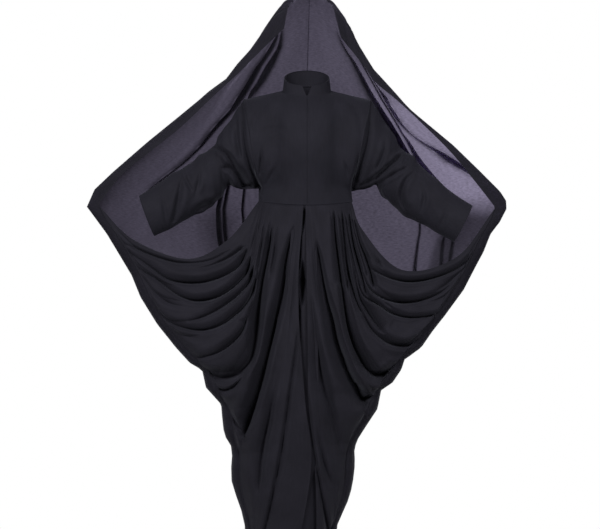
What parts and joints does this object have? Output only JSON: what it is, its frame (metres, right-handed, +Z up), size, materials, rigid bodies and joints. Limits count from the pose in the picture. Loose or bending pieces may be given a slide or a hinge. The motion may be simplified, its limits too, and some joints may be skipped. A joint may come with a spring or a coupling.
{
  "type": "chador",
  "caption": "One-piece dress chador with a hooded back sheet held out by both arms, fitted bodice, stand collar, wide sleeves and draped cowl skirts.",
  "frame": {"origin": "inner crown of the hood, where the garment rests on the top of the head", "axes": "+Z up, the front faces -Y, +X towards the wearer's left hand"},
  "size_m": [1.15, 0.3549, 1.6487],
  "materials": {
    "crepe_sheet": "matte fine crepe weave, lighter where a single layer is lit through",
    "crepe_skirt": "matte fine crepe weave",
    "crepe_bodice": "matte fine crepe weave"
  },
  "bodies": {
    "root": {"back_sheet_right": "crepe_sheet", "back_sheet_left": "crepe_sheet", "front_skirt_right": "crepe_skirt", "front_skirt_left": "crepe_skirt", "centre_pleat": "crepe_skirt", "bodice_front_right": "crepe_bodice", "bodice_front_left": "crepe_bodice", "bodice_back": "crepe_bodice", "sleeve_right": "crepe_bodice", "sleeve_left": "crepe_bodice", "collar": "crepe_bodice"}
  },
  "joints": []
}
